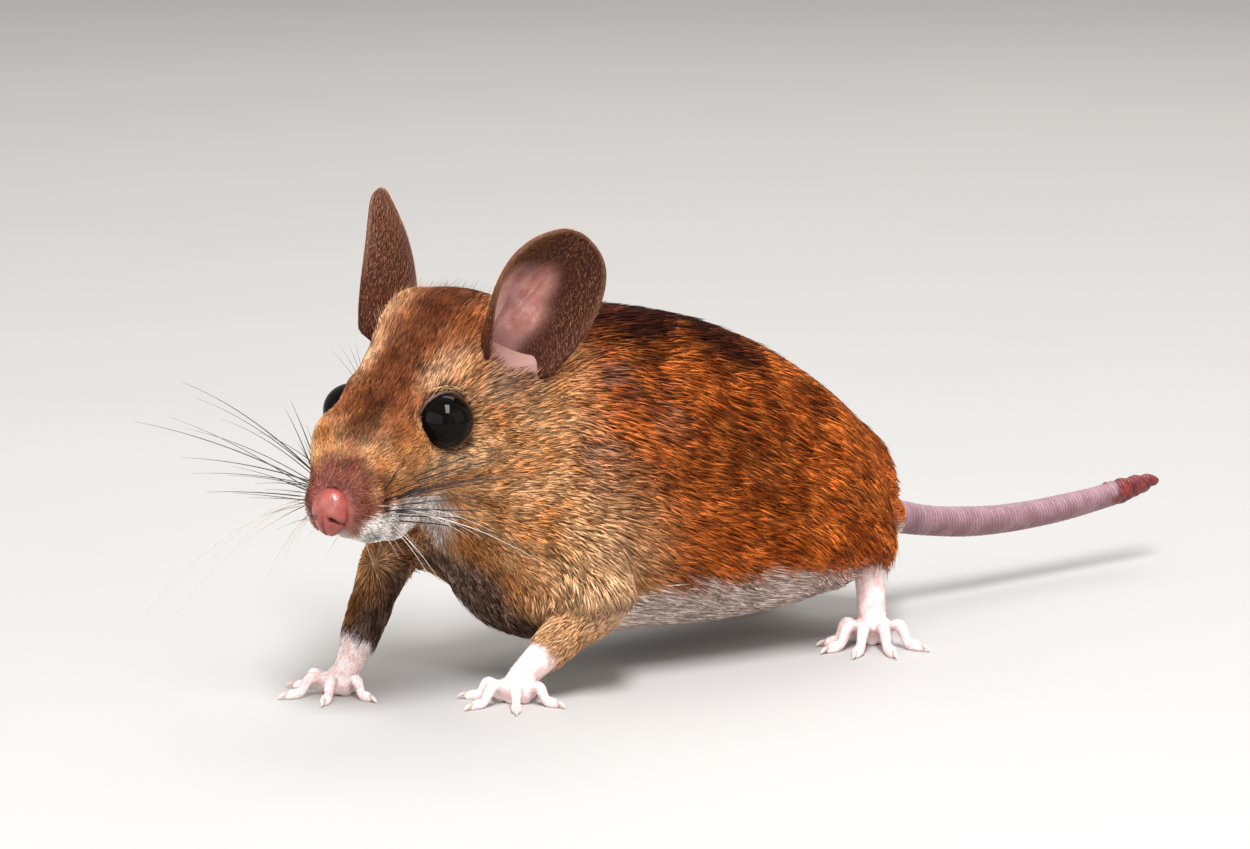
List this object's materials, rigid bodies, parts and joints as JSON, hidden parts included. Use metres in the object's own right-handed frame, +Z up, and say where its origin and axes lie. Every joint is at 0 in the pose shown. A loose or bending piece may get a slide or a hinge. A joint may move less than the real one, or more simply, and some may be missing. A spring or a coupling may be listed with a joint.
{
  "type": "field mouse",
  "caption": "Life-size model of a field mouse standing alert on its four feet, with large ears, bulging black eyes, a russet coat, a pale belly and a bare tail.",
  "frame": {"origin": "on the floor, below the middle of the whole animal's bounding box", "axes": "+Z up, the tail points along +Y and the nose along -Y, +X is towards the mouse's left side"},
  "size_m": [0.0518, 0.1298, 0.0499],
  "materials": {
    "coat": "short soft fur, russet above and grey-white below",
    "bare_skin": "bare pink skin of the feet and tail",
    "tail_tip_skin": "dark red skin, moist",
    "ear_skin": "thin dark brown skin with sparse hairs, pink inside",
    "eye": "glossy black",
    "nose_skin": "moist pink skin"
  },
  "bodies": {
    "root": {"head": "coat", "whiskers_left": "coat", "whiskers_right": "coat", "neck": "coat", "chest": "coat", "belly": "coat", "rump": "coat", "foreleg_left": "coat", "foreleg_right": "coat", "hindleg_left": "coat", "hindleg_right": "coat", "forepaw_left": "bare_skin", "forepaw_right": "bare_skin", "hindfoot_left": "bare_skin", "hindfoot_right": "bare_skin", "tail_base": "bare_skin", "tail_middle": "bare_skin", "tail_end": "bare_skin", "tail_tip": "tail_tip_skin", "ear_left": "ear_skin", "ear_right": "ear_skin", "eye_left": "eye", "eye_right": "eye", "nose": "nose_skin"}
  },
  "joints": []
}
